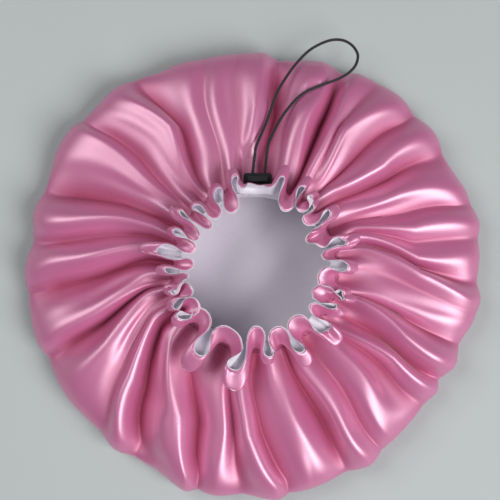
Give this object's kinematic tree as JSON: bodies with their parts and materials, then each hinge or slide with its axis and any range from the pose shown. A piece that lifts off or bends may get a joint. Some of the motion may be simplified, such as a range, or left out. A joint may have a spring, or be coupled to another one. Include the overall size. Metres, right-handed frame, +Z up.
{
  "type": "satin hair bonnet",
  "caption": "Round two-layer satin hair bonnet lying on its crown, gathered to a frilled opening by an elastic drawstring with a sprung cord lock.",
  "frame": {"origin": "middle of the crown's outer face, on the surface that the bonnet lies on", "axes": "+Z up through the opening, +Y towards the cord lock, +X to the right seen from above"},
  "size_m": [0.3681, 0.3776, 0.071],
  "materials": {
    "pink_satin": "glossy satin weave",
    "white_satin": "glossy satin weave",
    "pink_thread": "sewing thread",
    "black_elastic": "braided cover over rubber",
    "black_plastic": "moulded, satin",
    "spring_steel": "drawn wire"
  },
  "bodies": {
    "bonnet": {"outer_shell_crown": "pink_satin", "outer_shell_gathered": "pink_satin", "lining": "white_satin", "casing_stitch_lower": "pink_thread", "casing_stitch_upper": "pink_thread", "buttonhole_left": "pink_thread", "buttonhole_right": "pink_thread", "drawstring_left": "black_elastic", "drawstring_right": "black_elastic", "drawstring_knot": "black_elastic", "drawstring_loop": "black_elastic"},
    "lock": {"lock_body": "black_plastic", "lock_spring": "spring_steel"},
    "plunger": {"lock_plunger": "black_plastic"}
  },
  "joints": [
    {"name": "lock_slide", "type": "slide", "parent": "bonnet", "child": "lock", "axis": [0.1219, 0.9925, 0], "range_m": [0, 0.016]},
    {"name": "plunger_press", "type": "slide", "parent": "lock", "child": "plunger", "axis": [0, 0, -1], "range_m": [0, 0.0032], "stiffness_N_per_m": 600, "springref_m": -0.003, "deforming": ["lock_spring"]}
  ]
}
